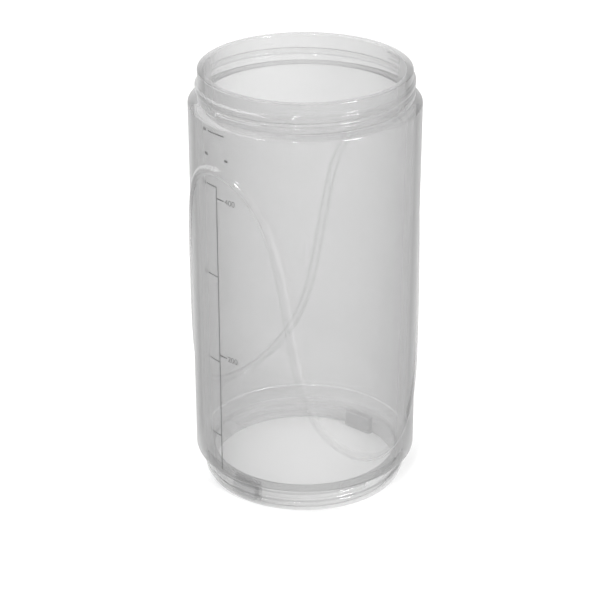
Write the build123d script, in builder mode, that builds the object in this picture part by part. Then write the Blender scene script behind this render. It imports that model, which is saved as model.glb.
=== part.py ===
from build123d import *

import os
from math import atan, cos, radians, sin, sqrt

# Clear jar of a small bottle blender, open at both ends. A lid screws on the upper neck
# and the blade base screws on the lower neck. Sizes are in millimetres. The origin is at
# the middle of the lower rim, +Z is up the jar and -Y is the side that carries the scale.
# An azimuth starts at the scale and grows to the right of someone who faces it.

# Jar wall
jar_height = 140.0
body_top_diameter = 73.1
body_bottom_diameter = 72.2
body_wall = 2.1
shoulder_edge = 0.5
rim_edge = 0.3

# Upper neck and its shoulder
upper_neck_diameter = 66.9
upper_neck_height = 9.55
upper_neck_wall = 2.2
upper_shoulder_height = 1.05
upper_shoulder_thickness = 1.3

# Lower neck and its shoulder
lower_neck_diameter = 64.4
lower_neck_height = 7.1
lower_neck_wall = 2.3
lower_shoulder_height = 2.2
lower_shoulder_thickness = 2.5

# Lid thread, placed by the upper end of its ridge, which starts this far below the rim
upper_thread_pitch = 3.3
upper_thread_turns = 1.5
upper_thread_depth = 0.8
upper_thread_crest = 1.3
upper_thread_root = 2.7
upper_thread_gap = 2.0
upper_thread_azimuth = 176.0

# Blade base thread, placed by the lower end of its ridge, which starts this far above the rim
lower_thread_pitch = 2.8
lower_thread_turns = 1.6
lower_thread_depth = 1.0
lower_thread_crest = 1.1
lower_thread_root = 2.2
lower_thread_gap = 0.15
lower_thread_azimuth = -132.0

# Feet of the threads and of the rib go this far into the wall. The round ends of a thread
# stop this far short of its faces.
ridge_sink = 0.4
thread_end_step = 0.04

# Wave rib on the outside of the wall. It is lofted over this many spans from a crest to a
# trough, and its direction is taken over this many degrees.
rib_width = 3.6
rib_height = 0.75
rib_crown_width = 1.2
rib_waves = 2
rib_crest_drop = 14.5
rib_trough_rise = 8.8
rib_steepness = 4.0
rib_lean = 0.2
rib_softness = 0.5
rib_route_spans = 12
rib_probe = 0.01

# Magnets of the safety switch, in pockets that open downwards
magnet_width = 9.0
magnet_height = 4.0
magnet_thickness = 2.4
magnet_edge = 0.2
magnet_azimuth = 7.4
pocket_clearance = 0.05
pocket_outer_wall = 1.05
pocket_inner_wall = 0.8
pocket_side_wall = 1.05
pocket_top_wall = 0.65
boss_corner_round = 1.0
cover_thickness = 1.0
cover_recess = 0.2

# Radii and heights that follow from the sizes above
body_top_r = body_top_diameter / 2
body_bottom_r = body_bottom_diameter / 2
upper_neck_r = upper_neck_diameter / 2
lower_neck_r = lower_neck_diameter / 2
upper_bore_r = upper_neck_r - upper_neck_wall
lower_bore_r = lower_neck_r - lower_neck_wall
upper_root_z = jar_height - upper_neck_height
upper_edge_z = upper_root_z - upper_shoulder_height
lower_root_z = lower_neck_height
lower_edge_z = lower_root_z + lower_shoulder_height

# Slopes of the two shoulder cones, rise over run
upper_slope = upper_shoulder_height / (body_top_r - upper_neck_r)
lower_slope = lower_shoulder_height / (body_bottom_r - lower_neck_r)

# Corners of the cavity, under the upper cone and over the lower one
cavity_top_r = body_top_r - body_wall
cavity_bottom_r = body_bottom_r - body_wall
ceiling_edge_z = upper_edge_z - upper_shoulder_thickness + upper_slope * body_wall
ceiling_bore_z = ceiling_edge_z + upper_slope * (cavity_top_r - upper_bore_r)
floor_edge_z = lower_edge_z + lower_shoulder_thickness - lower_slope * body_wall
floor_bore_z = floor_edge_z - lower_slope * (cavity_bottom_r - lower_bore_r)

# Heights of the rib's centreline
rib_crest_z = upper_edge_z - rib_crest_drop
rib_trough_z = lower_edge_z + rib_trough_rise

# Magnet pocket and boss, measured along the jar's radius
pocket_width = magnet_width + 2 * pocket_clearance
pocket_depth = magnet_thickness + 2 * pocket_clearance
pocket_outer_r = sqrt((lower_neck_r - pocket_outer_wall) ** 2 - (pocket_width / 2) ** 2)
pocket_middle_r = pocket_outer_r - pocket_depth / 2
magnet_bottom_z = cover_recess + cover_thickness
pocket_top_z = magnet_bottom_z + magnet_height + pocket_clearance
boss_width = pocket_width + 2 * pocket_side_wall
boss_inner_r = pocket_outer_r - pocket_depth - pocket_inner_wall
boss_outer_r = lower_bore_r + lower_neck_wall / 3
boss_top_z = pocket_top_z + pocket_top_wall

magnet_planes = {
    "front": Plane.XY.rotated((0, 0, magnet_azimuth)),
    "rear": Plane.XY.rotated((0, 0, magnet_azimuth + 180)),
}


def wall_r(height):
    """Outer radius of the tapered wall at a height."""
    share = (height - lower_edge_z) / (upper_edge_z - lower_edge_z)
    return body_bottom_r + (body_top_r - body_bottom_r) * share


def outward(azimuth):
    """Direction out of the jar at an azimuth."""
    return Vector(sin(radians(azimuth)), -cos(radians(azimuth)), 0)


def rib_swing(azimuth):
    """Plain shape of the wave: narrow crests, wide troughs and steep flanks."""
    swing = cos(rib_waves * radians(azimuth))
    return atan(rib_steepness * (swing - rib_lean)) + rib_softness * swing


def rib_point(azimuth):
    """Point of the rib's centreline on the wall at an azimuth."""
    crest_swing = rib_swing(0)
    trough_swing = rib_swing(180 / rib_waves)
    share = (rib_swing(azimuth) - trough_swing) / (crest_swing - trough_swing)
    height = rib_trough_z + (rib_crest_z - rib_trough_z) * share
    return wall_r(height) * outward(azimuth) + Vector(0, 0, height)


def rib_plane(azimuth):
    """Plane across the rib at an azimuth, with its X axis out of the wall."""
    direction = rib_point(azimuth + rib_probe) - rib_point(azimuth - rib_probe)
    return Plane(rib_point(azimuth), x_dir=outward(azimuth), z_dir=direction)


def foot_width(depth, crest, root):
    """Width of a ridge at its foot in the wall, where its flanks run on."""
    return root + (root - crest) / depth * ridge_sink


def ridge_outline(depth, crest, root):
    """Outline across a ridge, with its flanks, its flat crest and its foot in the wall."""
    foot = foot_width(depth, crest, root)
    Polyline(
        (-ridge_sink, -foot / 2),
        (depth, -crest / 2),
        (depth, crest / 2),
        (-ridge_sink, foot / 2),
        close=True,
    )


def thread_ridge(neck_r, start_z, start_azimuth, pitch, turns, depth, crest, root):
    """Right-handed thread ridge on a neck, with both of its ends rounded off."""
    # A helix starts on the X axis, a quarter turn on from where azimuths start
    helix = Helix(pitch, pitch * turns, neck_r, center=(0, 0, start_z))
    helix = helix.rotate(Axis.Z, start_azimuth - 90)
    foot = foot_width(depth, crest, root)
    with BuildPart() as ridge:
        with BuildSketch(Plane(helix @ 0, x_dir=outward(start_azimuth), z_dir=helix % 0)):
            with BuildLine():
                ridge_outline(depth, crest, root)
            make_face()
        sweep(path=helix, is_frenet=True)
        for end in (0, 1):
            away = outward(start_azimuth + 360 * turns * end)
            foot_point = helix @ end - away * (ridge_sink - thread_end_step)
            tip_point = helix @ end + away * (depth - thread_end_step)
            with BuildSketch(Plane(foot_point, z_dir=away)):
                Circle(foot / 2 - thread_end_step)
            with BuildSketch(Plane(tip_point, z_dir=away)):
                Circle(crest / 2 - thread_end_step)
            loft()
    return ridge.part


# The lid thread hangs from the upper rim, and the blade base thread stands over the lower one
upper_thread_section = (upper_thread_depth, upper_thread_crest, upper_thread_root)
upper_thread_end_z = jar_height - upper_thread_gap - foot_width(*upper_thread_section) / 2
upper_thread = thread_ridge(
    upper_neck_r,
    upper_thread_end_z - upper_thread_turns * upper_thread_pitch,
    upper_thread_azimuth - 360 * upper_thread_turns,
    upper_thread_pitch,
    upper_thread_turns,
    *upper_thread_section,
)

lower_thread_section = (lower_thread_depth, lower_thread_crest, lower_thread_root)
lower_thread = thread_ridge(
    lower_neck_r,
    lower_thread_gap + foot_width(*lower_thread_section) / 2,
    lower_thread_azimuth,
    lower_thread_pitch,
    lower_thread_turns,
    *lower_thread_section,
)

# Wave rib, lofted from a crest to a trough and then repeated
with BuildPart() as rib:
    half_wave = 180 / rib_waves
    for span in range(rib_route_spans + 1):
        with BuildSketch(rib_plane(half_wave * span / rib_route_spans)):
            with BuildLine():
                ridge_outline(rib_height, rib_crown_width, rib_width)
            make_face()
    loft()
    mirror(about=Plane.YZ)
    for wave in range(1, rib_waves):
        add(rib.part.rotate(Axis.Z, 360 * wave / rib_waves))

# One-piece moulding: wall, shoulders, necks, threads, wave rib and magnet bosses
with BuildPart() as jar_body:
    with BuildSketch(Plane.XZ):
        with BuildLine():
            Polyline(
                (0, 0),
                (lower_neck_r - rim_edge, 0),
                (lower_neck_r, rim_edge),
                (lower_neck_r, lower_root_z),
                (body_bottom_r - shoulder_edge, lower_edge_z - lower_slope * shoulder_edge),
                (wall_r(lower_edge_z + shoulder_edge), lower_edge_z + shoulder_edge),
                (wall_r(upper_edge_z - shoulder_edge), upper_edge_z - shoulder_edge),
                (body_top_r - shoulder_edge, upper_edge_z + upper_slope * shoulder_edge),
                (upper_neck_r, upper_root_z),
                (upper_neck_r, jar_height - rim_edge),
                (upper_neck_r - rim_edge, jar_height),
                (0, jar_height),
                close=True,
            )
        make_face()
    revolve(axis=Axis.Z)
    add(upper_thread)
    add(lower_thread)
    add(rib.part)

    with BuildSketch(Plane.XZ):
        with BuildLine():
            Polyline(
                (0, 0),
                (lower_bore_r, 0),
                (lower_bore_r, floor_bore_z),
                (cavity_bottom_r, floor_edge_z),
                (cavity_top_r, ceiling_edge_z),
                (upper_bore_r, ceiling_bore_z),
                (upper_bore_r, jar_height),
                (0, jar_height),
                close=True,
            )
        make_face()
    revolve(axis=Axis.Z, mode=Mode.SUBTRACT)

    with BuildSketch(*magnet_planes.values()):
        with Locations((0, -(boss_inner_r + boss_outer_r) / 2)):
            RectangleRounded(boss_width, boss_outer_r - boss_inner_r, boss_corner_round)
    extrude(amount=boss_top_z)
    with BuildSketch(*magnet_planes.values()):
        with Locations((0, -pocket_middle_r)):
            Rectangle(pocket_width, pocket_depth)
    extrude(amount=pocket_top_z, mode=Mode.SUBTRACT)

jar_body.part.label = "jar_body"

os.makedirs("parts", exist_ok=True)
export_step(jar_body.part, "parts/jar_body.step")

# A block magnet and the cover that closes its pocket, once for each boss
for side, plane in magnet_planes.items():
    with BuildPart() as magnet:
        with BuildSketch(plane.offset(magnet_bottom_z)):
            with Locations((0, -pocket_middle_r)):
                Rectangle(magnet_width, magnet_thickness)
        extrude(amount=magnet_height)
        chamfer(magnet.edges(), magnet_edge)
    magnet.part.label = side + "_magnet"
    export_step(magnet.part, "parts/" + side + "_magnet.step")

    with BuildPart() as magnet_cover:
        with BuildSketch(plane.offset(cover_recess)):
            with Locations((0, -pocket_middle_r)):
                Rectangle(magnet_width, magnet_thickness)
        extrude(amount=cover_thickness)
    magnet_cover.part.label = side + "_magnet_cover"
    export_step(magnet_cover.part, "parts/" + side + "_magnet_cover.step")
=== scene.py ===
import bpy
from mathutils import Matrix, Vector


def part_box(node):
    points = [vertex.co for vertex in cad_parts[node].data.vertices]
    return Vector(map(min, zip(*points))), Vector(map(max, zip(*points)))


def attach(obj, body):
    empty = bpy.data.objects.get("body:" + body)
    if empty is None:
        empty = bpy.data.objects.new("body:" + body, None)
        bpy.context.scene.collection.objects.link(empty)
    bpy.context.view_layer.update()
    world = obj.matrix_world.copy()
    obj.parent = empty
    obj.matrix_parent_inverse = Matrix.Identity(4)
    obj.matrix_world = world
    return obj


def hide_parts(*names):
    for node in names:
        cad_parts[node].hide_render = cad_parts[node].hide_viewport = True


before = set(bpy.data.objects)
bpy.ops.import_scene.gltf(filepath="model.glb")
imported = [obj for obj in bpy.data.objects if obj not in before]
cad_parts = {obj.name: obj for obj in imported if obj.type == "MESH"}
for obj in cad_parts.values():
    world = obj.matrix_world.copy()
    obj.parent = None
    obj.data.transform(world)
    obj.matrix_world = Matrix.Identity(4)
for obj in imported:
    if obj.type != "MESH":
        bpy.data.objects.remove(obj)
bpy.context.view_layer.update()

from math import acos, cos, pi, radians, sin, tan

import bmesh
import bpy
import numpy as np
from bpy.props import FloatProperty, FloatVectorProperty, IntProperty, PointerProperty
from mathutils import Matrix, Vector

bl_info = {
    "name": "Clear blender jar",
    "version": (1, 0, 0),
    "blender": (4, 5, 0),
    "location": "3D View > Sidebar > Jar",
    "description": "Clear jar with two screw necks, a wave rib, a printed scale and two magnets",
    "category": "Add Mesh",
}

# Lengths are in metres, +Z is up the jar, and the scale faces -Y. An azimuth starts at the
# scale and grows to the right of someone who faces it.
MM = 0.001
JAR_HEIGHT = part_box("jar_body")[1].z / MM

# Faces along a small and along a large rounding
SMALL_ARC = 4
LARGE_ARC = 6

# Rows of faces: across the rib, as shares of its half width, and below the rib, above it and
# on the cavity's wall, as shares of the way
RIB_ROWS = (-1.2, -1.0, -0.85, -0.7, -0.52, -0.33, -0.12, 0.12, 0.33, 0.52, 0.7, 0.85, 1.0, 1.2)
WALL_ROWS = (0.12, 0.3, 0.5, 0.7, 0.88)
CAVITY_ROWS = (0.2, 0.4, 0.6, 0.8)

# Measuring the rib: steps along its length, points of its middle line and how far they run
# past a full turn, batches of points that are measured at once, the small turn that gives its
# slope, and how round its section is
TRAVEL_STEPS = 20000
RIB_POINTS = 6000
RIB_OVERLAP = 0.3
RIB_BATCHES = 24
NUDGE = 1e-4
RIB_BULGE = 1.5

# Small lengths: for points that count as one, for edges at the top of a block, and for points
# that lie on a wall or on a shoulder
MERGE_REACH = MM / 1000
EDGE_REACH = MM / 100
WALL_REACH = MM / 20
SHOULDER_REACH = MM / 5

# A boss starts a little over the rim, and the block that cuts its pocket starts below it
BOSS_LIFT = MM / 16
POCKET_DROP = MM
SMOOTH_ANGLE = radians(70)


def length(name, description, millimetres):
    """A length that a user can change, given in millimetres."""
    return FloatProperty(name=name, description=description, default=millimetres * MM,
                         precision=5, unit="LENGTH")


def angle(name, description, turn):
    """An angle that a user can change, given in degrees."""
    return FloatProperty(name=name, description=description, default=radians(turn),
                         unit="ROTATION", subtype="ANGLE")


def amount(name, description, value):
    """A plain number that a user can change."""
    return FloatProperty(name=name, description=description, default=value)


def share(name, description, value):
    """A plain share from 0 to 1 that a user can change."""
    return FloatProperty(name=name, description=description, default=value, min=0.0, max=1.0,
                         subtype="FACTOR")


def colour(name, description, value):
    """A colour that a user can change."""
    return FloatVectorProperty(name=name, description=description, default=value, size=3,
                               min=0.0, max=1.0, subtype="COLOR")


class JarWall(bpy.types.PropertyGroup):
    """Sizes of the moulded wall, its shoulders and its necks."""

    height: length("Height", "From the lower rim to the upper rim", JAR_HEIGHT)
    top_radius: length("Top radius", "Outside of the wall at the upper shoulder", 36.55)
    bottom_radius: length("Bottom radius", "Outside of the wall at the lower shoulder", 36.1)
    thickness: length("Thickness", "Thickness of the wall", 2.1)
    upper_neck_radius: length("Upper neck radius", "Outside of the upper neck", 33.45)
    upper_neck_height: length("Upper neck height", "From its shoulder to the rim", 9.55)
    upper_neck_wall: length("Upper neck wall", "Thickness of the upper neck", 2.2)
    upper_shoulder: length("Upper shoulder", "Height of the upper shoulder cone", 1.05)
    upper_shoulder_wall: length("Upper shoulder wall", "Its thickness, upright", 1.3)
    lower_neck_radius: length("Lower neck radius", "Outside of the lower neck", 32.2)
    lower_neck_height: length("Lower neck height", "From the rim to its shoulder", 7.1)
    lower_neck_wall: length("Lower neck wall", "Thickness of the lower neck", 2.3)
    lower_shoulder: length("Lower shoulder", "Height of the lower shoulder cone", 2.2)
    lower_shoulder_wall: length("Lower shoulder wall", "Its thickness, upright", 2.5)
    shoulder_round: length("Shoulder rounding", "Radius of the shoulder edges", 0.6)
    rim_round: length("Rim rounding", "Radius of the rim edges", 0.3)
    root_round: length("Neck root rounding", "Radius at the root of each neck", 0.25)
    cavity_round: length("Cavity rounding", "Radius of the cavity's corners", 0.8)
    columns: IntProperty(name="Columns", description="Faces round the jar", default=400, min=48)
    neck_step: length("Neck step", "Height of a row of faces on a neck", 0.18)


class JarRib(bpy.types.PropertyGroup):
    """Sizes of the wave rib round the wall."""

    width: length("Width", "Width of the rib at the wall", 3.6)
    height: length("Height", "How far the rib stands out", 0.75)
    crest: length("Crest height", "Height of the rib's middle at its crests", 114.9)
    trough: length("Trough height", "Height of the rib's middle at its troughs", 18.1)
    steepness: amount("Steepness", "How steep the flanks of the wave are", 4.0)
    lean: amount("Lean", "Makes the crests narrower", 0.2)
    softness: amount("Softness", "Share of a plain wave", 0.5)


class JarThreads(bpy.types.PropertyGroup):
    """Sizes of the two screw threads."""

    upper_start: length("Upper start", "Height of the lid thread's lower end", 131.35)
    upper_azimuth: angle("Upper azimuth", "Where the lid thread's lower end is", -4.0)
    upper_turns: amount("Upper turns", "Turns of the lid thread", 1.5)
    upper_pitch: length("Upper pitch", "Rise of the lid thread in a turn", 3.3)
    upper_depth: length("Upper depth", "How far the lid thread stands out", 0.8)
    upper_crest: length("Upper crest", "Width of the lid thread's crest", 1.3)
    upper_root: length("Upper root", "Width of the lid thread at its neck", 2.7)
    lower_start: length("Lower start", "Height of the base thread's lower end", 1.47)
    lower_azimuth: angle("Lower azimuth", "Where the base thread's lower end is", -132.0)
    lower_turns: amount("Lower turns", "Turns of the base thread", 1.6)
    lower_pitch: length("Lower pitch", "Rise of the base thread in a turn", 2.8)
    lower_depth: length("Lower depth", "How far the base thread stands out", 1.0)
    lower_crest: length("Lower crest", "Width of the base thread's crest", 1.1)
    lower_root: length("Lower root", "Width of the base thread at its neck", 2.2)


class JarBosses(bpy.types.PropertyGroup):
    """Sizes of the two magnet bosses in the lower neck."""

    azimuth: angle("Azimuth", "Where the front boss is; the rear one is across from it", 7.4)
    width: length("Width", "Width of a boss", 11.2)
    inner: length("Inner face", "From the jar's axis to the flat face of a boss", 27.47)
    outer: length("Outer face", "From the jar's axis to where a boss ends in the wall", 30.67)
    top: length("Top", "Height of a boss", 5.9)
    corner_round: length("Corner rounding", "Radius of the upright corners", 1.0)
    top_round: length("Top rounding", "Radius of the top edges", 0.3)
    pocket_width: length("Pocket width", "Width of the pocket for a magnet", 9.1)
    pocket_inner: length("Pocket inner face", "From the axis to the near face of a pocket", 28.32)
    pocket_outer: length("Pocket outer face", "From the axis to the far face of a pocket", 30.82)
    pocket_top: length("Pocket top", "Height of a pocket", 5.25)


class JarScale(bpy.types.PropertyGroup):
    """Sizes of the printed scale."""

    line_width: length("Line width", "Width of the printed lines", 0.45)
    film: length("Film thickness", "Thickness of the printed ink", 0.03)
    large_digits: length("Large digits", "Height of the millilitre numbers", 1.9)
    small_digits: length("Small digits", "Height of the small numbers", 1.4)


class JarLooks(bpy.types.PropertyGroup):
    """Colours and finishes."""

    plastic: colour("Plastic", "Colour of the clear plastic's own haze", (0.45, 0.45, 0.45))
    haze: share("Haze", "How much one face of the plastic hides", 0.25)
    smoke: amount("Smoke", "How much a metre of the plastic takes from light", 92.0)
    # Painted highlight and painted light: extra haze on the cavity's bottom rounding and inside the
    # lower neck, where the base colour is painted paler
    painted_light_haze: share("Painted light haze", "How much more the rounding at the cavity's bottom hides", 0.12)
    # Painted shade: extra haze that paints dark lines along the flanks of the rib, the threads and
    # the lower shoulder
    flank_shade_haze: share("Flank shade haze", "How much more the flanks of the rib and the threads hide", 0.14)
    # Painted light: the lower neck's haze is painted paler, where less light reaches it
    neck_painted_light: share("Neck painted light", "How much paler the haze of the lower neck is", 0.5)
    shade: share("Shade", "How much of the haze stops light", 0.1)
    ink: colour("Ink", "Colour of the printed scale", (0.13, 0.13, 0.13))
    magnet: colour("Magnet", "Colour of the plated magnets", (0.5, 0.5, 0.51))
    cover: colour("Cover", "Colour of the pocket covers", (0.5, 0.5, 0.5))
    floor: colour("Floor", "Colour of the floor", (0.86, 0.86, 0.86))


# Corner fillets and smooth steps


def fillet(before, corner, after, radius, pieces):
    """Points of an arc that rounds a corner of a line in the plane."""
    before, corner, after = Vector(before), Vector(corner), Vector(after)
    back = (before - corner).normalized()
    ahead = (after - corner).normalized()
    half = acos(max(-1.0, min(1.0, back.dot(ahead)))) / 2
    reach = radius / tan(half)
    centre = corner + (back + ahead).normalized() * (radius / sin(half))
    start = corner + back * reach - centre
    end = corner + ahead * reach - centre
    sweep = start.angle_signed(end)
    turns = [Matrix.Rotation(-sweep * step / pieces, 2) for step in range(pieces + 1)]
    return [centre + turn @ start for turn in turns]


def smooth_step(value):
    """Soft ramp from 0 to 1."""
    value = np.clip(value, 0.0, 1.0)
    return value * value * (3 - 2 * value)


# Form of the jar


def lower_edge(wall):
    """Height where the lower shoulder meets the wall."""
    return wall.lower_neck_height + wall.lower_shoulder


def upper_root(wall):
    """Height where the upper shoulder meets its neck."""
    return wall.height - wall.upper_neck_height


def upper_edge(wall):
    """Height where the upper shoulder meets the wall."""
    return upper_root(wall) - wall.upper_shoulder


def lower_slope(wall):
    """How steep the lower shoulder is."""
    return wall.lower_shoulder / (wall.bottom_radius - wall.lower_neck_radius)


def cavity_ground(wall):
    """Height of the corner at the bottom of the cavity's wall."""
    return lower_edge(wall) + wall.lower_shoulder_wall - lower_slope(wall) * wall.thickness


def wall_radius(wall, height):
    """Outside radius of the tapered wall at a height."""
    low, high = lower_edge(wall), upper_edge(wall)
    taper = wall.top_radius - wall.bottom_radius
    return wall.bottom_radius + taper * (height - low) / (high - low)


def rib_height(rib, azimuth):
    """Height of the rib's middle line at an azimuth."""

    def swing(wave):
        return np.arctan(rib.steepness * (wave - rib.lean)) + rib.softness * wave

    part = (swing(np.cos(2 * azimuth)) - swing(-1.0)) / (swing(1.0) - swing(-1.0))
    return rib.trough + (rib.crest - rib.trough) * part


def column_azimuths(wall, rib):
    """Azimuths of the columns of faces, set at even steps along the rib."""
    fine = np.linspace(0, 2 * pi, TRAVEL_STEPS + 1)
    run = np.hypot(np.diff(fine) * wall.top_radius, np.diff(rib_height(rib, fine)))
    travel = np.concatenate(([0.0], np.cumsum(run)))
    return np.interp(np.arange(wall.columns) * travel[-1] / wall.columns, travel, fine)


def rib_rise(wall, rib, azimuth, height):
    """How far the rib lifts the wall, for rows of azimuths and heights."""
    line = np.linspace(-RIB_OVERLAP, 2 * pi + RIB_OVERLAP, RIB_POINTS + 1)
    line_height = rib_height(rib, line)
    rise = np.zeros(azimuth.shape)
    for row in range(len(azimuth)):
        across = (azimuth[row][:, None] - line[None, :]) * wall.top_radius
        up = height[row][:, None] - line_height[None, :]
        distance = np.sqrt((across * across + up * up).min(axis=1))
        bulge = np.clip(1 - (2 * distance / rib.width) ** 2, 0, 1)
        rise[row] = rib.height * bulge ** RIB_BULGE
    return rise


def thread_sizes(threads, neck):
    """Sizes of the upper or the lower thread, in the order that thread_rise takes them."""
    names = ("start", "azimuth", "turns", "pitch", "depth", "crest", "root")
    return [getattr(threads, neck + "_" + name) for name in names]


def thread_rise(radius, start, start_azimuth, turns, pitch, depth, crest, root, azimuth, height):
    """How far a screw thread with round ends lifts its neck at each azimuth and height."""
    slope = pitch / (2 * pi * radius)
    end = 2 * pi * turns * radius
    nearest = np.full(azimuth.shape, np.inf)
    for lap in range(-1, int(turns) + 2):
        along = ((azimuth - start_azimuth) % (2 * pi) + 2 * pi * lap) * radius
        near = np.clip(along + slope * (height - start - slope * along), 0, end)
        nearest = np.minimum(nearest, np.hypot(along - near, height - start - slope * near))
    return depth * smooth_step((root / 2 - nearest) / (root / 2 - crest / 2))


def profile_rows(wall):
    """Rows of the jar's closed section, each with its radius, height and kind, and its share
    of the way up where the wall has to follow the rib."""
    upper_slope = wall.upper_shoulder / (wall.top_radius - wall.upper_neck_radius)
    upper_bore = wall.upper_neck_radius - wall.upper_neck_wall
    lower_bore = wall.lower_neck_radius - wall.lower_neck_wall
    cavity_top = wall.top_radius - wall.thickness
    cavity_bottom = wall.bottom_radius - wall.thickness
    ceiling = upper_edge(wall) - wall.upper_shoulder_wall + upper_slope * wall.thickness
    ground = cavity_ground(wall)
    upper_bore_end = ceiling + upper_slope * (cavity_top - upper_bore)
    lower_bore_end = ground - lower_slope(wall) * (cavity_bottom - lower_bore)

    # Each corner with its rounding, the faces along that, and the run that leads to it
    corners = [
        ((lower_bore, 0.0), wall.rim_round, SMALL_ARC, "plain"),
        ((wall.lower_neck_radius, 0.0), wall.rim_round, SMALL_ARC, "plain"),
        ((wall.lower_neck_radius, wall.lower_neck_height), wall.root_round, SMALL_ARC,
         "lower neck"),
        ((wall.bottom_radius, lower_edge(wall)), wall.shoulder_round, LARGE_ARC, "plain"),
        ((wall.top_radius, upper_edge(wall)), wall.shoulder_round, LARGE_ARC, "wall"),
        ((wall.upper_neck_radius, upper_root(wall)), wall.root_round, SMALL_ARC, "plain"),
        ((wall.upper_neck_radius, wall.height), wall.rim_round, SMALL_ARC, "upper neck"),
        ((upper_bore, wall.height), wall.rim_round, SMALL_ARC, "plain"),
        ((upper_bore, upper_bore_end), wall.root_round, SMALL_ARC, "plain"),
        ((cavity_top, ceiling), wall.cavity_round, LARGE_ARC, "plain"),
        ((cavity_bottom, ground), wall.cavity_round, LARGE_ARC, "cavity"),
        ((lower_bore, lower_bore_end), wall.root_round, SMALL_ARC, "plain"),
    ]
    rows = []
    for number, (corner, radius, pieces, run) in enumerate(corners):
        before = corners[number - 1][0]
        after = corners[(number + 1) % len(corners)][0]
        arc = fillet(before, corner, after, radius, pieces)
        if rows:
            rows += between(rows[-1], arc[0], run, wall)
        rows += [(point.x, point.y, "plain", 0.0) for point in arc]
    return rows


def between(last, arc_start, run, wall):
    """Rows on the straight run that leads to the start of a rounding."""
    if run in ("lower neck", "upper neck"):
        steps = int((arc_start.y - last[1]) / wall.neck_step)
        heights = np.linspace(last[1], arc_start.y, steps + 1)[1:-1]
        return [(last[0], height, run, 0.0) for height in heights]
    if run == "wall":
        kinds = [("below rib", part) for part in WALL_ROWS]
        kinds += [("rib", part) for part in RIB_ROWS]
        kinds += [("above rib", part) for part in WALL_ROWS]
        heights = np.linspace(last[1], arc_start.y, len(kinds) + 2)[1:-1]
        return [(last[0], height, *kind) for height, kind in zip(heights, kinds)]
    if run == "cavity":
        return [(last[0] + (arc_start.x - last[0]) * part, last[1] + (arc_start.y - last[1]) * part,
                 "plain", 0.0) for part in CAVITY_ROWS]
    return []


def settle_rows(wall, rib, threads, rows):
    """Azimuth, radius and height of every point of the jar, one line per row."""
    azimuths = column_azimuths(wall, rib)
    azimuth = np.tile(azimuths, (len(rows), 1))
    radius = np.tile(np.array([row[0] for row in rows])[:, None], (1, wall.columns))
    height = np.tile(np.array([row[1] for row in rows])[:, None], (1, wall.columns))
    kinds = np.array([row[2] for row in rows])

    # Rows on the wall bend with the rib, so that each one runs along it
    middle = rib_height(rib, azimuths)
    climb = rib_height(rib, azimuths + NUDGE) - rib_height(rib, azimuths - NUDGE)
    steep = climb / (2 * NUDGE * wall.top_radius)
    reach = rib.width / 2 * np.sqrt(1 + steep ** 2)
    on_wall = np.flatnonzero(np.isin(kinds, ("below rib", "rib", "above rib")))
    bottom = rows[on_wall[0] - 1][1]
    top = rows[on_wall[-1] + 1][1]
    for row in on_wall:
        part = rows[row][3]
        if kinds[row] == "rib":
            height[row] = middle + part * reach
        elif kinds[row] == "below rib":
            height[row] = bottom + (middle + RIB_ROWS[0] * reach - bottom) * part
        else:
            height[row] = top + (middle + RIB_ROWS[-1] * reach - top) * (1 - part)
    radius[on_wall] = wall_radius(wall, height[on_wall])
    radius[on_wall] += rib_rise(wall, rib, azimuth[on_wall], height[on_wall])

    for neck, neck_radius in (("upper", wall.upper_neck_radius), ("lower", wall.lower_neck_radius)):
        on_neck = np.flatnonzero(kinds == neck + " neck")
        radius[on_neck] += thread_rise(neck_radius, *thread_sizes(threads, neck),
                                       azimuth[on_neck], height[on_neck])
    return azimuth, radius, height


# Work in the 3D view


def clear_selection():
    """Go back to object mode and deselect everything, so that an operator acts on one piece."""
    if bpy.context.object and bpy.context.object.mode != "OBJECT":
        bpy.ops.object.mode_set(mode="OBJECT")
    bpy.ops.object.select_all(action="DESELECT")


def pick(piece):
    """Make a piece the only selected one and the active one."""
    clear_selection()
    piece.select_set(True)
    bpy.context.view_layer.objects.active = piece


def turn_faces_outwards():
    """Make every face of the active piece point outwards."""
    bpy.ops.object.mode_set(mode="EDIT")
    bpy.ops.mesh.select_all(action="SELECT")
    bpy.ops.mesh.normals_make_consistent(inside=False)
    bpy.ops.object.mode_set(mode="OBJECT")


def vertex_places(piece):
    """X, Y and Z of a piece's vertices, one line per vertex."""
    places = np.zeros(len(piece.data.vertices) * 3)
    piece.data.vertices.foreach_get("co", places)
    return places.reshape(-1, 3)


def move_vertices(piece, azimuth, radius, height):
    """Put a piece's vertices at these azimuths, radii and heights."""
    places = np.stack((radius * np.sin(azimuth), -radius * np.cos(azimuth), height), axis=1)
    piece.data.vertices.foreach_set("co", places.ravel())
    piece.data.update()


def trace_section(rows):
    """Trace the closed section of the jar vertex by vertex, tell each vertex its row, and stay in
    edit mode for the spin."""
    clear_selection()
    bpy.ops.mesh.primitive_plane_add(size=MM, location=(0, 0, 0))
    piece = bpy.context.object
    bpy.ops.object.mode_set(mode="EDIT")
    bpy.ops.mesh.select_all(action="SELECT")
    bpy.ops.mesh.merge(type="CENTER")
    here = Vector((0, 0, 0))
    for number, row in enumerate(rows):
        there = Vector((0, -row[0], row[1]))
        if number == 0:
            bpy.ops.transform.translate(value=there)
        else:
            bpy.ops.mesh.extrude_vertices_move(TRANSFORM_OT_translate={"value": there - here})
        here = there
    bpy.ops.object.mode_set(mode="OBJECT")
    if len(piece.data.vertices) != len(rows):
        raise RuntimeError("the section of the jar has lost a vertex")
    numbers = piece.data.attributes.new("row", "INT", "POINT")
    numbers.data.foreach_set("value", np.arange(len(rows), dtype=np.int32))
    for vertex in piece.data.vertices:
        vertex.select = vertex.index in (0, len(rows) - 1)
    bpy.ops.object.mode_set(mode="EDIT")
    bpy.ops.mesh.edge_face_add()
    return piece


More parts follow.
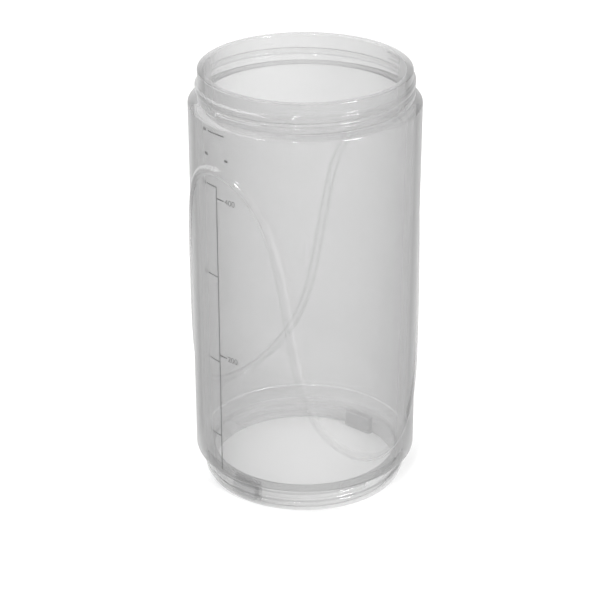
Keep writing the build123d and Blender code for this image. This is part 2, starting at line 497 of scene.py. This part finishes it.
def rounded_block(width, near, far, bottom, top, corner_round, top_round, turn):
    """A block that stands at an azimuth, with its upright corners and top edges rounded."""
    clear_selection()
    bpy.ops.mesh.primitive_cube_add(size=1.0, location=(0, -(near + far) / 2, (bottom + top) / 2),
                                    scale=(width, far - near, top - bottom))
    block = bpy.context.object
    bpy.ops.object.transform_apply(location=True, rotation=True, scale=True)
    for upright, radius in ((True, corner_round), (False, top_round)):
        if not radius:
            continue
        bpy.ops.object.mode_set(mode="EDIT")
        bpy.ops.mesh.select_mode(type="EDGE")
        shape = bmesh.from_edit_mesh(block.data)
        for edge in shape.edges:
            first, second = edge.verts
            if upright:
                chosen = abs(first.co.z - second.co.z) > (top - bottom) / 2
            else:
                chosen = min(first.co.z, second.co.z) > top - EDGE_REACH
            edge.select_set(chosen)
        bmesh.update_edit_mesh(block.data)
        bpy.ops.mesh.bevel(offset=radius, segments=SMALL_ARC, affect="EDGES")
        bpy.ops.object.mode_set(mode="OBJECT")
    block.rotation_euler = (0, 0, turn)
    bpy.ops.object.transform_apply(location=True, rotation=True, scale=True)
    return block


def combine(piece, tool, operation):
    """Join a tool with a piece, or cut it out, and remove the tool."""
    pick(piece)
    modifier = piece.modifiers.new(operation.title(), "BOOLEAN")
    modifier.operation = operation
    modifier.object = tool
    modifier.solver = "MANIFOLD"
    bpy.ops.object.modifier_apply(modifier=modifier.name)
    bpy.data.objects.remove(tool)


# Nodes


def new_material(name):
    """A new material, its node tree and its shader."""
    material = bpy.data.materials.new(name)
    material.use_nodes = True
    return material, material.node_tree, material.node_tree.nodes["Principled BSDF"]


def moulded_variation():
    """Node group with the faint flow marks and the fine surface of moulded plastic."""
    found = bpy.data.node_groups.get("Moulded surface")
    if found:
        return found
    group = bpy.data.node_groups.new("Moulded surface", "ShaderNodeTree")
    for name in ("Flow", "Grain"):
        group.interface.new_socket(name + " Scale", in_out="INPUT", socket_type="NodeSocketFloat")
        group.interface.new_socket(name, in_out="OUTPUT", socket_type="NodeSocketFloat")
    nodes, links = group.nodes, group.links
    entry = nodes.new("NodeGroupInput")
    leave = nodes.new("NodeGroupOutput")
    place = nodes.new("ShaderNodeTexCoord")
    # Flow marks are drawn out up the jar
    stretch = nodes.new("ShaderNodeMapping")
    stretch.inputs["Scale"].default_value = (1.0, 1.0, 0.15)
    links.new(place.outputs["Object"], stretch.inputs["Vector"])
    for name, vector in (("Flow", stretch.outputs["Vector"]), ("Grain", place.outputs["Object"])):
        noise = nodes.new("ShaderNodeTexNoise")
        noise.inputs["Detail"].default_value = 3.0
        links.new(vector, noise.inputs["Vector"])
        links.new(entry.outputs[name + " Scale"], noise.inputs["Scale"])
        links.new(noise.outputs["Fac"], leave.inputs[name])
    return group


def place_variation(tree, flow_scale, grain_scale):
    """The moulded surface group in a material, with its own scales."""
    group = tree.nodes.new("ShaderNodeGroup")
    group.node_tree = moulded_variation()
    group.inputs["Flow Scale"].default_value = flow_scale
    group.inputs["Grain Scale"].default_value = grain_scale
    return group


def map_range(tree, value, low, high):
    """A value from 0 to 1 spread over a new range."""
    spread = tree.nodes.new("ShaderNodeMapRange")
    spread.inputs["To Min"].default_value = low
    spread.inputs["To Max"].default_value = high
    tree.links.new(value, spread.inputs["Value"])
    return spread.outputs["Result"]


def tint(tree, value, base, spread):
    """A colour that gets a little darker and lighter with a value."""
    ramp = tree.nodes.new("ShaderNodeMix")
    ramp.data_type = "RGBA"
    ramp.inputs["A"].default_value = (*[part * (1 - spread) for part in base], 1.0)
    ramp.inputs["B"].default_value = (*[min(1.0, part * (1 + spread)) for part in base], 1.0)
    tree.links.new(value, ramp.inputs["Factor"])
    return ramp.outputs["Result"]


def bump(tree, height, strength, distance):
    """A normal from a height."""
    node = tree.nodes.new("ShaderNodeBump")
    node.inputs["Strength"].default_value = strength
    node.inputs["Distance"].default_value = distance
    tree.links.new(height, node.inputs["Height"])
    return node.outputs["Normal"]


def arithmetic(tree, operation, *values):
    """One step of arithmetic on numbers or sockets."""
    node = tree.nodes.new("ShaderNodeMath")
    node.operation = operation
    for value, socket in zip(values, node.inputs):
        if isinstance(value, (int, float)):
            socket.default_value = value
        else:
            tree.links.new(value, socket)
    return node.outputs["Value"]


def point_mark(tree, name):
    """A mark that the points of a mesh carry."""
    node = tree.nodes.new("ShaderNodeAttribute")
    node.attribute_name = name
    return node.outputs["Fac"]


def seen_directly(tree):
    """1 where the camera looks, also by way of gloss and glass, and 0 for light that scatters."""
    path = tree.nodes.new("ShaderNodeLightPath")
    seen = path.outputs["Is Camera Ray"]
    for ray in ("Is Glossy Ray", "Is Transmission Ray"):
        seen = arithmetic(tree, "MAXIMUM", seen, path.outputs[ray])
    return seen


# Materials

# Two marks on the jar's points, both painted light and shade. The shade mark is strongest halfway
# up the flanks of the rib and the threads, where it paints dark lines. The light mark is 1 on the
# rounding at the bottom of the cavity, where it paints a pale highlight line, and less than 0 on
# the lower neck, where only a look from inside meets it and it paints that side paler.
FLANK_SHADE = "painted_flank_shade"
PAINTED_LIGHT_MARK = "painted_ledge_highlight_and_neck_light"

# Strength of the painted shade on the threads and on the lower shoulder, and of the painted light
# on the inside of the lower neck, and the share of the cavity's rounding that the painted highlight
# takes up
THREAD_SHADE_MARKS = {"upper": 1.25, "lower": 0.8}
SHOULDER_SHADE_MARK = 0.5
INSIDE_LIGHT_MARK = 0.6
HIGHLIGHT_SHARE = 0.5

# How far over and under its root the lower neck's painted light, a paler haze, fades, and how fast
# haze thickens towards the jar's outline
NECK_FADE_OVER = 0.4 * MM
NECK_FADE_UNDER = 0.6 * MM
HAZE_POWER = 2.7


def painted_neck_light(tree, looks, wall):
    """Painted light: how much paler the haze is painted, all of the neck's painted light on the
    lower neck, and 0 over it.
    """
    place = tree.nodes.new("ShaderNodeTexCoord")
    split = tree.nodes.new("ShaderNodeSeparateXYZ")
    tree.links.new(place.outputs["Object"], split.inputs["Vector"])
    fade = tree.nodes.new("ShaderNodeMapRange")
    fade.inputs["From Min"].default_value = wall.lower_neck_height + NECK_FADE_OVER
    fade.inputs["From Max"].default_value = wall.lower_neck_height - NECK_FADE_UNDER
    fade.inputs["To Max"].default_value = looks.neck_painted_light
    tree.links.new(split.outputs["Z"], fade.inputs["Value"])
    return fade.outputs["Result"]


def painted_light_on_side(tree):
    """The painted light mark on the side of a face that it is for: the front of a face where the
    mark is over 0, which paints the highlight on the cavity's bottom rounding, and the back of it
    where the mark is under 0, which paints the inside of the lower neck paler."""
    geometry = tree.nodes.new("ShaderNodeNewGeometry")
    side = arithmetic(tree, "MULTIPLY_ADD", geometry.outputs["Backfacing"], -2.0, 1.0)
    marked = arithmetic(tree, "MULTIPLY", point_mark(tree, PAINTED_LIGHT_MARK), side)
    return arithmetic(tree, "MAXIMUM", marked, 0.0)


def clear_plastic(looks, wall):
    """Clear plastic with a little haze: the more of it a look has to pass, the more it hides."""
    material, tree, shader = new_material("Clear plastic")
    links = tree.links
    surface = place_variation(tree, flow_scale=60.0, grain_scale=900.0)
    flank_shade, painted_light = point_mark(tree, FLANK_SHADE), painted_light_on_side(tree)

    # Painted light and shade in the base colour: the haze is painted paler on the lower neck and
    # darker on the flanks of its thread, and paler still for the painted highlight on the cavity's
    # rounding and inside the lower neck
    pale_or_shaded = arithmetic(tree, "MULTIPLY_ADD", flank_shade, -2.0, 1.0)
    lift = arithmetic(tree, "MULTIPLY_ADD", painted_neck_light(tree, looks, wall), pale_or_shaded, 1.0)
    lift = arithmetic(tree, "ADD", lift, painted_light)
    paler = tree.nodes.new("ShaderNodeMix")
    paler.data_type = "RGBA"
    paler.blend_type = "MULTIPLY"
    paler.inputs["Factor"].default_value = 1.0
    plain = tint(tree, surface.outputs["Flow"], looks.plastic, spread=0.03)
    links.new(plain, paler.inputs["A"])
    links.new(lift, paler.inputs["B"])
    links.new(paler.outputs["Result"], shader.inputs["Base Color"])
    roughness = map_range(tree, surface.outputs["Grain"], low=0.1, high=0.2)
    links.new(roughness, shader.inputs["Roughness"])
    shader.inputs["Specular IOR Level"].default_value = 0.0
    shader.inputs["Coat Roughness"].default_value = 0.06
    shader.inputs["Coat IOR"].default_value = 2.6

    facing = tree.nodes.new("ShaderNodeLayerWeight")
    facing.inputs["Blend"].default_value = 0.5
    straight = arithmetic(tree, "SUBTRACT", 1.0, facing.outputs["Facing"])
    links.new(straight, shader.inputs["Coat Weight"])
    slanted = arithmetic(tree, "POWER", facing.outputs["Facing"], HAZE_POWER)
    hidden = map_range(tree, slanted, low=looks.haze, high=1.0)
    # Painted shade lines and painted highlight: both marks thicken the haze where they lie
    for mark, haze in ((flank_shade, looks.flank_shade_haze), (painted_light, looks.painted_light_haze)):
        hidden = arithmetic(tree, "ADD", hidden, arithmetic(tree, "MULTIPLY", mark, haze))
    seen = map_range(tree, seen_directly(tree), low=looks.shade, high=1.0)
    links.new(arithmetic(tree, "MULTIPLY", hidden, seen), shader.inputs["Alpha"])

    smoke = tree.nodes.new("ShaderNodeVolumeAbsorption")
    smoke.inputs["Color"].default_value = (0.0, 0.0, 0.0, 1.0)
    smoke.inputs["Density"].default_value = looks.smoke
    links.new(smoke.outputs["Volume"], tree.nodes["Material Output"].inputs["Volume"])
    return material


def vary_finish(tree, shader, surface, base, spread, roughness):
    """Give a shader a colour that varies with the flow marks, and a roughness with the grain."""
    paint = tint(tree, surface.outputs["Flow"], base, spread)
    tree.links.new(paint, shader.inputs["Base Color"])
    rough = map_range(tree, surface.outputs["Grain"], *roughness)
    tree.links.new(rough, shader.inputs["Roughness"])


def scale_ink(looks):
    """Dark print ink, a little worn."""
    material, tree, shader = new_material("Scale ink")
    surface = place_variation(tree, flow_scale=400.0, grain_scale=2500.0)
    vary_finish(tree, shader, surface, looks.ink, spread=0.25, roughness=(0.35, 0.6))
    worn = map_range(tree, surface.outputs["Flow"], low=0.7, high=1.0)
    tree.links.new(worn, shader.inputs["Alpha"])
    return material


def plated_magnet(looks):
    """Satin plating of a block magnet, with fine rubbing marks."""
    material, tree, shader = new_material("Plated magnet")
    surface = place_variation(tree, flow_scale=900.0, grain_scale=3000.0)
    vary_finish(tree, shader, surface, looks.magnet, spread=0.12, roughness=(0.3, 0.5))
    rubbed = bump(tree, surface.outputs["Grain"], strength=0.15, distance=0.05 * MM)
    tree.links.new(rubbed, shader.inputs["Normal"])
    shader.inputs["Metallic"].default_value = 0.8
    return material


def cover_plastic(looks):
    """Moulded plastic of the pocket covers."""
    material, tree, shader = new_material("Cover plastic")
    surface = place_variation(tree, flow_scale=300.0, grain_scale=2000.0)
    vary_finish(tree, shader, surface, looks.cover, spread=0.05, roughness=(0.25, 0.4))
    shader.inputs["Alpha"].default_value = 0.6
    return material


def give_material(piece, material):
    """Dress a piece in one material."""
    piece.data.materials.clear()
    piece.data.materials.append(material)


# Printed scale, in millimetres. The upright line has its lower and upper end, each tick its
# height and number, the fill line its height, left and right end, and each bar of the heading
# its height, middle, width and thickness.
SCALE_LINE = (10.6, 110.0)
LEFT_TICKS = ((110.0, "14"), (79.7, "10"), (50.0, "6"), (23.2, "3"))
RIGHT_TICKS = ((106.3, "400"), (52.5, "200"))
FILL_LINE = (127.4, -3.6, 3.8)
HEADING_BARS = ((119.7, -4.7, 1.5, 0.9), (119.7, 4.5, 1.3, 0.7), (127.4, -5.5, 1.6, 0.9))

# How far a tick reaches left or right of the upright line
LEFT_REACH = 4.9 * MM
RIGHT_REACH = 3.2 * MM

# Cuts across a bar, so that it bends with the wall, and the height of a digit for a font size
# of 1
BAR_CUTS = 12
DIGIT_SHARE = 0.7


def flat_bar(left, right, low, high, film):
    """A printed bar, laid flat with X along the wall and Y up it."""
    clear_selection()
    bpy.ops.mesh.primitive_plane_add(size=1.0, location=((left + right) / 2, (low + high) / 2, 0))
    bar = bpy.context.object
    bar.scale = (right - left, high - low, 1.0)
    bpy.ops.object.transform_apply(location=True, rotation=True, scale=True)
    bpy.ops.object.mode_set(mode="EDIT")
    bpy.ops.mesh.select_all(action="SELECT")
    bpy.ops.mesh.subdivide(number_cuts=BAR_CUTS)
    bpy.ops.mesh.extrude_region_move(TRANSFORM_OT_translate={"value": (0, 0, film)})
    bpy.ops.object.mode_set(mode="OBJECT")
    return bar


def flat_number(text, align, edge, middle, size, film):
    """A printed number, laid flat, with its left or right end at an edge."""
    clear_selection()
    bpy.ops.object.text_add(location=(0, 0, 0))
    number = bpy.context.object
    number.data.body = text
    number.data.size = size / DIGIT_SHARE
    number.data.extrude = film / 2
    number.data.align_x = align
    bpy.ops.object.convert(target="MESH")
    number = bpy.context.object
    number.location = (edge, middle - size / 2, film / 2)
    bpy.ops.object.transform_apply(location=True, rotation=True, scale=True)
    return number


def wrap_on_wall(piece, wall):
    """Bend a flat print round the outside of the wall."""
    along, height, out = vertex_places(piece).T
    radius = wall_radius(wall, height)
    move_vertices(piece, along / radius, radius + out, height)


# Stage, in metres and degrees, with the lens in millimetres: the camera, the point that the
# lamps face, and the floor
CAMERA_PLACE = (0.4518, -0.4104, 0.3568)
CAMERA_TURN = (64.07, 0.0, 47.9)
CAMERA_LENS = 125.37
SENSOR_WIDTH = 36.0
LAMP_TARGET = (0, 0, 0.07)
FLOOR_SIZE = 8.0
FLOOR_LEVEL = -0.0002

# Strength of the floor's own white where it is seen, and of the world's even light
FLOOR_GLOW = 0.13
WORLD_LIGHT = 0.4
WHITE = (1.0, 1.0, 1.0, 1.0)

# Lamps: name, azimuth, elevation, distance, size and watts
LAMPS = (
    ("key_light", 36.0, 50.0, 0.9, 0.08, 1.5),
    ("right_light", 95.0, 28.0, 1.6, 0.45, 20.0),
    ("left_light", -72.0, 35.0, 1.6, 2.20, 36.0),
    ("front_light", 5.0, 18.0, 1.5, 0.22, 2.4),
)


# Operators


class JAR_OT_clear_jar(bpy.types.Operator):
    """Spin the jar's section, raise its rib and threads, and add the magnet bosses"""

    bl_idname = "jar.clear_jar"
    bl_label = "Clear Jar"
    bl_options = {"REGISTER", "UNDO"}

    def execute(self, context):
        scene = context.scene
        wall = scene.jar_wall
        rows = profile_rows(wall)
        jar = trace_section(rows)
        jar.name = "clear_jar"
        bpy.ops.mesh.select_all(action="SELECT")
        bpy.ops.mesh.spin(steps=wall.columns, angle=2 * pi, center=(0, 0, 0), axis=(0, 0, 1))
        bpy.ops.mesh.select_all(action="SELECT")
        bpy.ops.mesh.remove_doubles(threshold=MERGE_REACH)
        bpy.ops.object.mode_set(mode="OBJECT")
        if len(jar.data.vertices) != len(rows) * wall.columns:
            raise RuntimeError("the spun section of the jar didn't close")
        self.settle(scene, jar, rows)
        turn_faces_outwards()
        self.add_bosses(scene.jar_bosses, jar)
        self.mark_points(scene, jar)
        pick(jar)
        bpy.ops.object.shade_smooth_by_angle(angle=SMOOTH_ANGLE)
        give_material(jar, clear_plastic(scene.jar_looks, wall))
        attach(jar, "root")
        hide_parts("jar_body")
        return {"FINISHED"}

    def settle(self, scene, jar, rows):
        """Move every point of the spun jar to its place on the rib, the threads and the wall."""
        wall = scene.jar_wall
        azimuth, radius, height = settle_rows(wall, scene.jar_rib, scene.jar_threads, rows)
        across, deep, _ = vertex_places(jar).T
        row = np.zeros(len(across), dtype=np.int32)
        jar.data.attributes["row"].data.foreach_get("value", row)
        turn = np.arctan2(across, -deep) / (2 * pi)
        column = np.rint(turn * wall.columns).astype(int) % wall.columns
        move_vertices(jar, azimuth[row, column], radius[row, column], height[row, column])
        jar.data.attributes.remove(jar.data.attributes["row"])

    def add_bosses(self, bosses, jar):
        """Join the two magnet bosses with the lower neck and cut their pockets."""
        for turn in (bosses.azimuth, bosses.azimuth + pi):
            boss = rounded_block(bosses.width, bosses.inner, bosses.outer, BOSS_LIFT, bosses.top,
                                 bosses.corner_round, bosses.top_round, turn)
            combine(jar, boss, "UNION")
            pocket = rounded_block(bosses.pocket_width, bosses.pocket_inner, bosses.pocket_outer,
                                   -POCKET_DROP, bosses.pocket_top, 0.0, 0.0, turn)
            combine(jar, pocket, "DIFFERENCE")

    def mark_points(self, scene, jar):
        """Write the painted shade mark and the painted light mark on the jar's points."""
        wall, rib, threads = scene.jar_wall, scene.jar_rib, scene.jar_threads
        across, deep, height = vertex_places(jar).T
        radius = np.hypot(across, deep)
        azimuth = np.arctan2(across, -deep) % (2 * pi)
        flank_shade = np.zeros(len(radius))
        # Painted highlight on the inner half of the cavity's bottom rounding
        corner = np.hypot(radius - wall.bottom_radius + wall.thickness,
                          height - cavity_ground(wall))
        painted_light = np.where(corner < wall.cavity_round * HIGHLIGHT_SHARE, 1.0, 0.0)

        on_wall = radius > wall_radius(wall, height) - WALL_REACH
        on_wall &= (height > lower_edge(wall)) & (height < upper_edge(wall))
        # Painted shade lines halfway up the rib's flanks
        for batch in np.array_split(np.flatnonzero(on_wall), RIB_BATCHES):
            rise = rib_rise(wall, rib, azimuth[None, batch], height[None, batch])[0] / rib.height
            flank_shade[batch] = 4 * rise * (1 - rise)
        for neck, neck_radius, low, high in (
                ("upper", wall.upper_neck_radius, upper_root(wall), wall.height),
                ("lower", wall.lower_neck_radius, 0.0, wall.lower_neck_height)):
            on_neck = (radius > neck_radius - WALL_REACH) & (height > low) & (height < high)
            rise = thread_rise(neck_radius, *thread_sizes(threads, neck), azimuth[on_neck],
                               height[on_neck]) / getattr(threads, neck + "_depth")
            steep = 4 * rise * (1 - rise)
            # Painted shade lines halfway up the flanks of the thread
            flank_shade[on_neck] = THREAD_SHADE_MARKS[neck] * steep
            if neck == "lower":
                # Painted light on the inside of the lower neck, away from the thread's flanks
                painted_light[on_neck] = INSIDE_LIGHT_MARK * (steep - 1)

        # Painted shade band on the lower shoulder cone
        cone = wall.lower_neck_height + lower_slope(wall) * (radius - wall.lower_neck_radius)
        on_shoulder = np.abs(height - cone) < SHOULDER_REACH
        on_shoulder &= radius > wall.lower_neck_radius + SHOULDER_REACH
        flank_shade[on_shoulder & (height < lower_edge(wall))] = SHOULDER_SHADE_MARK
        for name, values in ((FLANK_SHADE, flank_shade), (PAINTED_LIGHT_MARK, painted_light)):
            marks = jar.data.attributes.new(name, "FLOAT", "POINT")
            marks.data.foreach_set("value", values)


class JAR_OT_scale_print(bpy.types.Operator):
    """Print the scale with its lines and numbers on the wall"""

    bl_idname = "jar.scale_print"
    bl_label = "Scale Print"
    bl_options = {"REGISTER", "UNDO"}

    def execute(self, context):
        scale = context.scene.jar_scale
        half, film = scale.line_width / 2, scale.film
        marks = [flat_bar(-half, half, SCALE_LINE[0] * MM, SCALE_LINE[1] * MM + half, film)]
        # A tick keeps a film's thickness away from the upright line, so that no edges meet
        for height, text in LEFT_TICKS:
            level = height * MM
            marks.append(flat_bar(-LEFT_REACH, -half - film, level - half, level + half, film))
            marks.append(flat_number(text, "RIGHT", -LEFT_REACH - scale.line_width, level,
                                     scale.small_digits, film))
        for height, text in RIGHT_TICKS:
            level = height * MM
            marks.append(flat_bar(half + film, RIGHT_REACH, level - half, level + half, film))
            marks.append(flat_number(text, "LEFT", RIGHT_REACH + scale.line_width, level,
                                     scale.large_digits, film))
        level, left, right = (part * MM for part in FILL_LINE)
        marks.append(flat_bar(left, right, level - half, level + half, film))
        for bar in HEADING_BARS:
            level, middle, width, tall = (part * MM for part in bar)
            marks.append(flat_bar(middle - width / 2, middle + width / 2, level - tall / 2,
                                  level + tall / 2, film))
        clear_selection()
        for mark in marks:
            mark.select_set(True)
        context.view_layer.objects.active = marks[0]
        bpy.ops.object.join()
        print_piece = context.object
        print_piece.name = "scale_print"
        wrap_on_wall(print_piece, context.scene.jar_wall)
        turn_faces_outwards()
        give_material(print_piece, scale_ink(context.scene.jar_looks))
        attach(print_piece, "root")
        return {"FINISHED"}


class JAR_OT_magnets(bpy.types.Operator):
    """Dress the two magnets and the covers of their pockets"""

    bl_idname = "jar.magnets"
    bl_label = "Magnets"
    bl_options = {"REGISTER", "UNDO"}

    def execute(self, context):
        looks = context.scene.jar_looks
        magnet_finish, cover_finish = plated_magnet(looks), cover_plastic(looks)
        for side in ("front", "rear"):
            give_material(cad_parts[side + "_magnet"], magnet_finish)
            give_material(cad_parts[side + "_magnet_cover"], cover_finish)
        return {"FINISHED"}


class JAR_OT_stage(bpy.types.Operator):
    """Set up the floor, the soft light and the camera"""

    bl_idname = "jar.stage"
    bl_label = "Stage"
    bl_options = {"REGISTER", "UNDO"}

    def execute(self, context):
        scene = context.scene
        clear_selection()
        bpy.ops.object.camera_add(location=CAMERA_PLACE,
                                  rotation=[radians(turn) for turn in CAMERA_TURN])
        camera = context.object
        camera.data.lens = CAMERA_LENS
        camera.data.sensor_width = SENSOR_WIDTH
        scene.camera = camera

        clear_selection()
        bpy.ops.mesh.primitive_plane_add(size=FLOOR_SIZE, location=(0, 0, FLOOR_LEVEL))
        floor = context.object
        floor.name = "floor"
        give_material(floor, self.floor_paint(scene.jar_looks))
        for name, turn, lift, away, size, power in LAMPS:
            clear_selection()
            turn, lift = radians(turn), radians(lift)
            spot = Vector((sin(turn) * cos(lift), -cos(turn) * cos(lift), sin(lift))) * away
            aim = (Vector(LAMP_TARGET) - spot).to_track_quat("-Z", "Y")
            bpy.ops.object.light_add(type="AREA", location=spot, rotation=aim.to_euler())
            lamp = context.object
            lamp.name = name
            lamp.data.size = size
            lamp.data.energy = power
        self.white_world(scene)
        scene.view_settings.view_transform = "Standard"
        return {"FINISHED"}

    def floor_paint(self, looks):
        """Pale floor that shows white to the camera and keeps the jar's shadow."""
        material, tree, shader = new_material("Floor paint")
        place = tree.nodes.new("ShaderNodeTexCoord")
        noise = tree.nodes.new("ShaderNodeTexNoise")
        noise.inputs["Scale"].default_value = 3.0
        tree.links.new(place.outputs["Object"], noise.inputs["Vector"])
        paint = tint(tree, noise.outputs["Fac"], looks.floor, spread=0.01)
        tree.links.new(paint, shader.inputs["Base Color"])
        shader.inputs["Roughness"].default_value = 0.9
        shader.inputs["Specular IOR Level"].default_value = 0.0
        shader.inputs["Emission Color"].default_value = WHITE
        glow = arithmetic(tree, "MULTIPLY", seen_directly(tree), FLOOR_GLOW)
        tree.links.new(glow, shader.inputs["Emission Strength"])
        return material

    def white_world(self, scene):
        """Even light all round, and plain white where it is seen."""
        world = bpy.data.worlds.new("Studio")
        scene.world = world
        world.use_nodes = True
        tree = world.node_tree
        background = tree.nodes["Background"]
        background.inputs["Color"].default_value = WHITE
        extra = arithmetic(tree, "MULTIPLY", seen_directly(tree), 1.0 - WORLD_LIGHT)
        level = arithmetic(tree, "ADD", extra, WORLD_LIGHT)
        tree.links.new(level, background.inputs["Strength"])


class JAR_PT_panel(bpy.types.Panel):
    """Steps that build the jar"""

    bl_idname = "JAR_PT_panel"
    bl_label = "Clear Jar"
    bl_space_type = "VIEW_3D"
    bl_region_type = "UI"
    bl_category = "Jar"

    def draw(self, context):
        for operator in OPERATORS:
            self.layout.operator(operator.bl_idname)


GROUPS = {
    "jar_wall": JarWall,
    "jar_rib": JarRib,
    "jar_threads": JarThreads,
    "jar_bosses": JarBosses,
    "jar_scale": JarScale,
    "jar_looks": JarLooks,
}
OPERATORS = (JAR_OT_stage, JAR_OT_clear_jar, JAR_OT_magnets, JAR_OT_scale_print)


def register():
    """Tell Blender about the sizes, the steps and the panel."""
    for name, group in GROUPS.items():
        bpy.utils.register_class(group)
        setattr(bpy.types.Scene, name, PointerProperty(type=group))
    for operator in OPERATORS:
        bpy.utils.register_class(operator)
    bpy.utils.register_class(JAR_PT_panel)


def unregister():
    """Take back what register did."""
    bpy.utils.unregister_class(JAR_PT_panel)
    for operator in reversed(OPERATORS):
        bpy.utils.unregister_class(operator)
    for name, group in reversed(GROUPS.items()):
        delattr(bpy.types.Scene, name)
        bpy.utils.unregister_class(group)


def main():
    """Build the jar step by step."""
    register()
    bpy.ops.jar.stage()
    bpy.ops.jar.clear_jar()
    bpy.ops.jar.magnets()
    bpy.ops.jar.scale_print()


if __name__ == "__main__":
    main()
